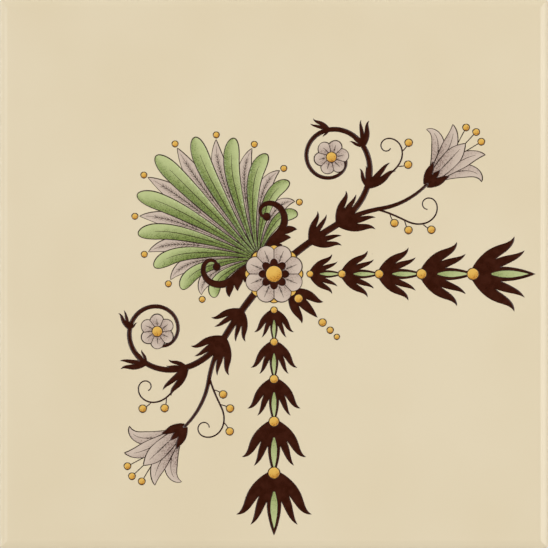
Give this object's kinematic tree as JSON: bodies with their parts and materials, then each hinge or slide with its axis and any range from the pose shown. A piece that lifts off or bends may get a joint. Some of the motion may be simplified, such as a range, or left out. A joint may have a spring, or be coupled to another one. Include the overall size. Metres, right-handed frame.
{
  "type": "corner tile",
  "caption": "Square glazed ceramic wall tile with rolled edges, a keyed back and a printed ornament that turns a border round a corner.",
  "frame": {"origin": "centre of the back, in the plane of the rib tops that the tile rests on", "axes": "+Z out of the glazed face; +X to the right and +Y up as the face is seen from the front, with the border turning from the +X side to the -Y side"},
  "size_m": [0.152, 0.152, 0.007],
  "materials": {
    "cream_glaze": "gloss cream glaze over buff biscuit",
    "brown_enamel": "fired enamel, stencilled and slightly raised",
    "green_wash": "fired enamel, laid as a wash and stippled",
    "mauve_wash": "fired enamel, laid as a wash and stippled",
    "gold_wash": "fired ochre enamel, in rounded drops",
    "ink_line": "fired dark brown line"
  },
  "bodies": {
    "root": {"corner_tile": "cream_glaze"}
  },
  "joints": []
}
